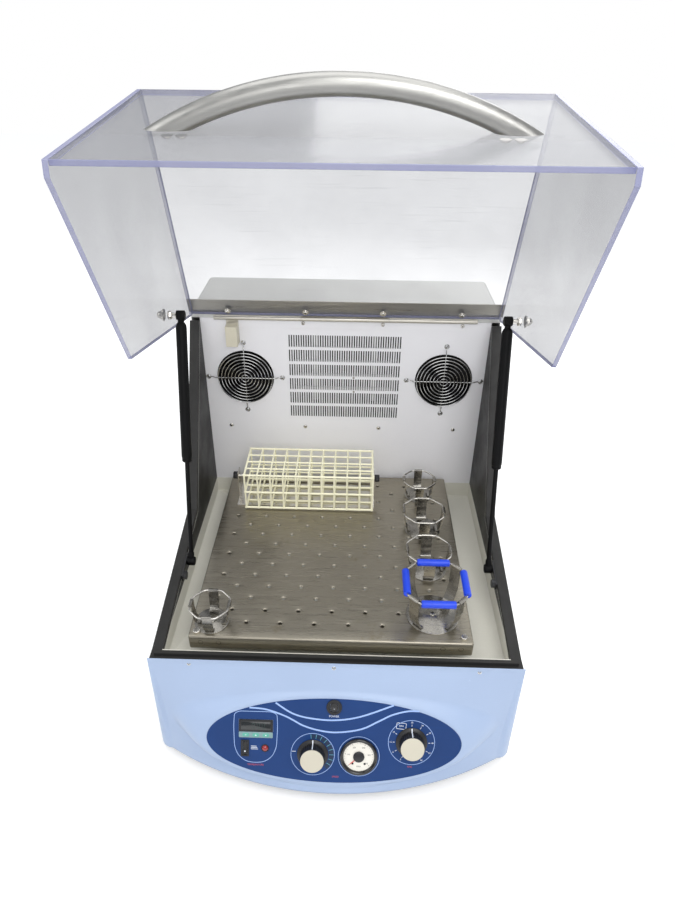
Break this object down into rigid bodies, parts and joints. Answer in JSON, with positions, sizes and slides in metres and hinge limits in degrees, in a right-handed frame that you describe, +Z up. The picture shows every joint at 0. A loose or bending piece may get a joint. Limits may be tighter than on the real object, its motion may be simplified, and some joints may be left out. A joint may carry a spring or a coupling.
{
  "type": "incubated benchtop shaker",
  "caption": "Benchtop orbital shaker with a heated chamber, a hinged clear lid on gas springs, a perforated platform with flask clamps and a tube rack, and a bowed control panel.",
  "frame": {"origin": "on the table, under the middle of the box that the shaker fills with its lid open", "axes": "+X to the operator's right, +Y to the back, +Z up"},
  "size_m": [0.614, 0.794, 1.0201],
  "materials": {
    "cabinet_white": "fine satin",
    "tub_cream": "satin",
    "wall_grey": "matt",
    "liner_dark": "matt",
    "bezel_blue": "fine grain",
    "label_navy": "printed sheet",
    "gasket_black": "soft",
    "foot_black": "moulded",
    "knob_ivory": "smooth",
    "black_plastic": "moulded",
    "gauge_black": "smooth",
    "display_dark": "window",
    "key_grey": "soft",
    "lamp_red": "clear lens",
    "switch_ivory": "moulded",
    "clear_sheet": "clear polymer sheet",
    "handle_alu": "satin tube",
    "steel_satin": "brushed",
    "steel_bright": "bright",
    "spring_black": "gloss black",
    "plate_steel": "zinc coated",
    "cast_grey": "cast",
    "motor_grey": "cast",
    "belt_black": "belt",
    "heater_steel": "heat tinted",
    "sleeve_blue": "soft sleeve",
    "rack_yellow": "coated wire"
  },
  "bodies": {
    "cabinet": {"chassis_base": "plate_steel", "feet": "foot_black", "casing_left": "cabinet_white", "casing_right": "cabinet_white", "chamber_tub": "tub_cream", "side_liners": "liner_dark", "rear_wall": "wall_grey", "rear_housing": "cabinet_white", "power_inlet": "black_plastic", "rim_gasket": "gasket_black", "front_bezel": "bezel_blue", "control_label": "label_navy", "speed_gauge": "gauge_black", "display_module": "display_dark", "indicator_lamp": "lamp_red", "fan_frames": "black_plastic", "fan_guards": "steel_bright", "heater_element": "heater_steel", "hinge_leaf": "steel_satin", "spring_brackets": "spring_black", "drive_plate": "plate_steel", "drive_bearings": "cast_grey", "drive_motor": "motor_grey", "drive_belt": "belt_black", "lid_switch": "switch_ivory", "cabinet_screws": "steel_bright"},
    "lid": {"lid_top": "clear_sheet", "lid_front": "clear_sheet", "lid_side_left": "clear_sheet", "lid_side_right": "clear_sheet", "lid_handle": "handle_alu", "lid_fasteners": "steel_bright", "lid_hinge_strip": "steel_satin"},
    "spring_rod_l": {"spring_rod_left": "steel_bright"},
    "spring_rod_r": {"spring_rod_right": "steel_bright"},
    "spring_tube_l": {"spring_tube_left": "spring_black"},
    "spring_tube_r": {"spring_tube_right": "spring_black"},
    "drive_crank": {"main_crank": "cast_grey"},
    "idler_l": {"idler_crank_left": "cast_grey"},
    "idler_r": {"idler_crank_right": "cast_grey"},
    "motor_drive": {"motor_pulley": "motor_grey"},
    "tray": {"platform": "steel_satin", "platform_carriage": "motor_grey", "flask_clamps": "steel_bright", "clamp_springs": "steel_bright", "clamp_sleeves": "sleeve_blue", "tube_rack": "rack_yellow", "rack_holder": "steel_satin"},
    "thumb_l": {"rack_thumb_left": "black_plastic"},
    "thumb_r": {"rack_thumb_right": "black_plastic"},
    "fan_l": {"fan_rotor_left": "black_plastic"},
    "fan_r": {"fan_rotor_right": "black_plastic"},
    "speed_dial": {"speed_knob": "knob_ivory"},
    "time_dial": {"time_knob": "knob_ivory"},
    "needle": {"gauge_needle": "gauge_black"},
    "power_switch": {"power_rocker": "black_plastic"},
    "heater_switch": {"heater_rocker": "black_plastic"},
    "key_l": {"set_key_left": "key_grey"},
    "key_m": {"set_key_middle": "key_grey"},
    "key_r": {"set_key_right": "key_grey"}
  },
  "joints": [
    {"name": "lid_hinge", "type": "hinge", "parent": "cabinet", "child": "lid", "pos_m": [0, 0.1983, 0.5897], "axis": [1, 0, 0], "range_deg": [0, 72.5]},
    {"name": "spring_pivot_l", "type": "hinge", "parent": "cabinet", "child": "spring_rod_l", "pos_m": [-0.2675, -0.0981, 0.2403], "axis": [1, 0, 0], "range_deg": [-23, 0]},
    {"name": "spring_stroke_l", "type": "slide", "parent": "spring_rod_l", "child": "spring_tube_l", "axis": [0, 0.3034, 0.9529], "range_m": [-0.156, 0]},
    {"name": "spring_pivot_r", "type": "hinge", "parent": "cabinet", "child": "spring_rod_r", "pos_m": [0.2675, -0.0981, 0.2403], "axis": [1, 0, 0], "range_deg": [-23, 0]},
    {"name": "spring_stroke_r", "type": "slide", "parent": "spring_rod_r", "child": "spring_tube_r", "axis": [0, 0.3034, 0.9529], "range_m": [-0.156, 0]},
    {"name": "main_spin", "type": "hinge", "parent": "cabinet", "child": "drive_crank", "pos_m": [0, -0.137, 0.12], "axis": [0, 0, 1], "continuous": true},
    {"name": "idler_spin_l", "type": "hinge", "parent": "cabinet", "child": "idler_l", "pos_m": [-0.15, 0.083, 0.12], "axis": [0, 0, 1], "continuous": true},
    {"name": "idler_spin_r", "type": "hinge", "parent": "cabinet", "child": "idler_r", "pos_m": [0.15, 0.083, 0.12], "axis": [0, 0, 1], "continuous": true},
    {"name": "motor_spin", "type": "hinge", "parent": "cabinet", "child": "motor_drive", "pos_m": [0.165, -0.137, 0.12], "axis": [0, 0, 1], "continuous": true},
    {"name": "tray_swivel", "type": "hinge", "parent": "drive_crank", "child": "tray", "pos_m": [-0.00898, -0.14009, 0.21], "axis": [0, 0, 1], "continuous": true},
    {"name": "thumb_turn_l", "type": "hinge", "parent": "tray", "child": "thumb_l", "pos_m": [-0.2096, 0.115, 0.283], "axis": [1, 0, 0], "continuous": true},
    {"name": "thumb_turn_r", "type": "hinge", "parent": "tray", "child": "thumb_r", "pos_m": [0.0657, 0.115, 0.283], "axis": [1, 0, 0], "continuous": true},
    {"name": "fan_spin_l", "type": "hinge", "parent": "cabinet", "child": "fan_l", "pos_m": [-0.198, 0.2155, 0.4625], "axis": [0, 1, 0], "continuous": true},
    {"name": "fan_spin_r", "type": "hinge", "parent": "cabinet", "child": "fan_r", "pos_m": [0.198, 0.2155, 0.4625], "axis": [0, 1, 0], "continuous": true},
    {"name": "speed_turn", "type": "hinge", "parent": "cabinet", "child": "speed_dial", "pos_m": [-0.0327, -0.36893, 0.08526], "axis": [0, -0.8896, 0.4567], "range_deg": [-150, 150]},
    {"name": "time_turn", "type": "hinge", "parent": "cabinet", "child": "time_dial", "pos_m": [0.123, -0.35774, 0.10706], "axis": [0, -0.8896, 0.4567], "range_deg": [-300, 30]},
    {"name": "needle_turn", "type": "hinge", "parent": "cabinet", "child": "needle", "pos_m": [0.0404, -0.36947, 0.08419], "axis": [0, -0.8896, 0.4567], "range_deg": [-264, 0], "stiffness_Nm_per_rad": 0.00002},
    {"name": "power_rock", "type": "hinge", "parent": "cabinet", "child": "power_switch", "pos_m": [0, -0.33285, 0.15554], "axis": [1, 0, 0], "range_deg": [0, 8]},
    {"name": "heater_rock", "type": "hinge", "parent": "cabinet", "child": "heater_switch", "pos_m": [-0.1405, -0.36564, 0.09167], "axis": [1, 0, 0], "range_deg": [0, 6]},
    {"name": "key_press_l", "type": "slide", "parent": "cabinet", "child": "key_l", "axis": [0, 0.8896, -0.4567], "range_m": [0, 0.0008], "stiffness_N_per_m": 500},
    {"name": "key_press_m", "type": "slide", "parent": "cabinet", "child": "key_m", "axis": [0, 0.8896, -0.4567], "range_m": [0, 0.0008], "stiffness_N_per_m": 500},
    {"name": "key_press_r", "type": "slide", "parent": "cabinet", "child": "key_r", "axis": [0, 0.8896, -0.4567], "range_m": [0, 0.0008], "stiffness_N_per_m": 500}
  ],
  "couplings": [
    {"joint": "spring_pivot_l", "follows": "lid_hinge", "ratio": -0.3171},
    {"joint": "spring_stroke_l", "follows": "lid_hinge", "m_per_rad": -0.12313},
    {"joint": "spring_pivot_r", "follows": "lid_hinge", "ratio": -0.3171},
    {"joint": "spring_stroke_r", "follows": "lid_hinge", "m_per_rad": -0.12313},
    {"joint": "tray_swivel", "follows": "main_spin", "ratio": -1},
    {"joint": "idler_spin_l", "follows": "main_spin", "ratio": 1},
    {"joint": "idler_spin_r", "follows": "main_spin", "ratio": 1},
    {"joint": "motor_spin", "follows": "main_spin", "ratio": 3.6364}
  ]
}
